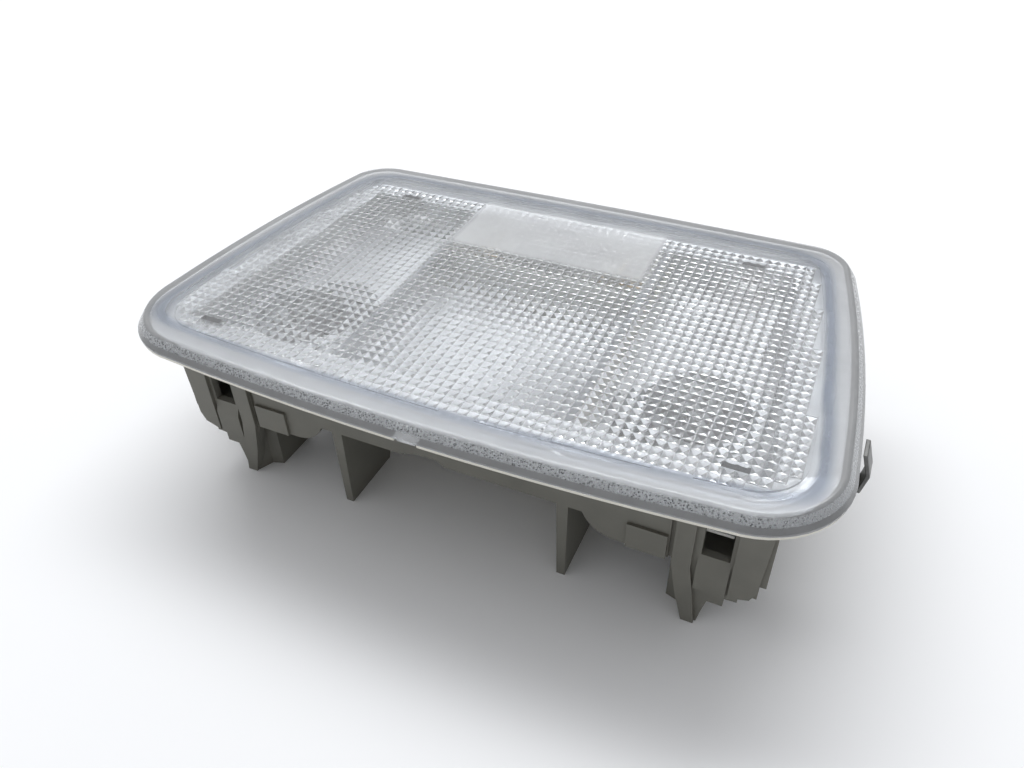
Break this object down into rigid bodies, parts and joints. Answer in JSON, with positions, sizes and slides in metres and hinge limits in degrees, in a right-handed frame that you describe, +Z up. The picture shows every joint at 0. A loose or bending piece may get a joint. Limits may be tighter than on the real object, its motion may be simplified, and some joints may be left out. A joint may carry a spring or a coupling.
{
  "type": "car interior light",
  "caption": "Car interior light with a clear prismatic lens over a three-bay reflector, a centre festoon lamp, two wedge lamps and a moulded base.",
  "frame": {"origin": "centre of the bounding box at its base, where the feet of the moulded base stand", "axes": "+X along the width, +Y from the wide edge towards the narrow edge, +Z up towards the lens"},
  "size_m": [0.1876, 0.1158, 0.05],
  "materials": {
    "base_plastic": "matte moulded",
    "clear_lens": "clear, polished outside, prisms inside",
    "pale_reflector": "pale rim, silvered inside",
    "white_pan": "satin white",
    "bright_bowl": "vacuum silvered",
    "bulb_glass": "clear",
    "cap_metal": "plated",
    "filament": "dull wire",
    "brass": "stamped",
    "dark_plastic": "matte",
    "spring_steel": "dull grey"
  },
  "bodies": {
    "root": {"housing": "base_plastic", "lens": "clear_lens", "reflector": "pale_reflector", "lamp_pan": "white_pan", "left_bowl": "bright_bowl", "right_bowl": "bright_bowl", "festoon_glass": "bulb_glass", "festoon_caps": "cap_metal", "festoon_filament": "filament", "left_bulb_clip": "brass", "right_bulb_clip": "brass", "left_wedge_glass": "bulb_glass", "right_wedge_glass": "bulb_glass", "left_wedge_filament": "filament", "right_wedge_filament": "filament", "left_bulb_socket": "dark_plastic", "right_bulb_socket": "dark_plastic", "left_socket_contacts": "brass", "right_socket_contacts": "brass", "earth_strip": "brass", "feed_strip": "brass", "door_strip": "brass", "left_spring_clip": "spring_steel", "right_spring_clip": "spring_steel"}
  },
  "joints": []
}
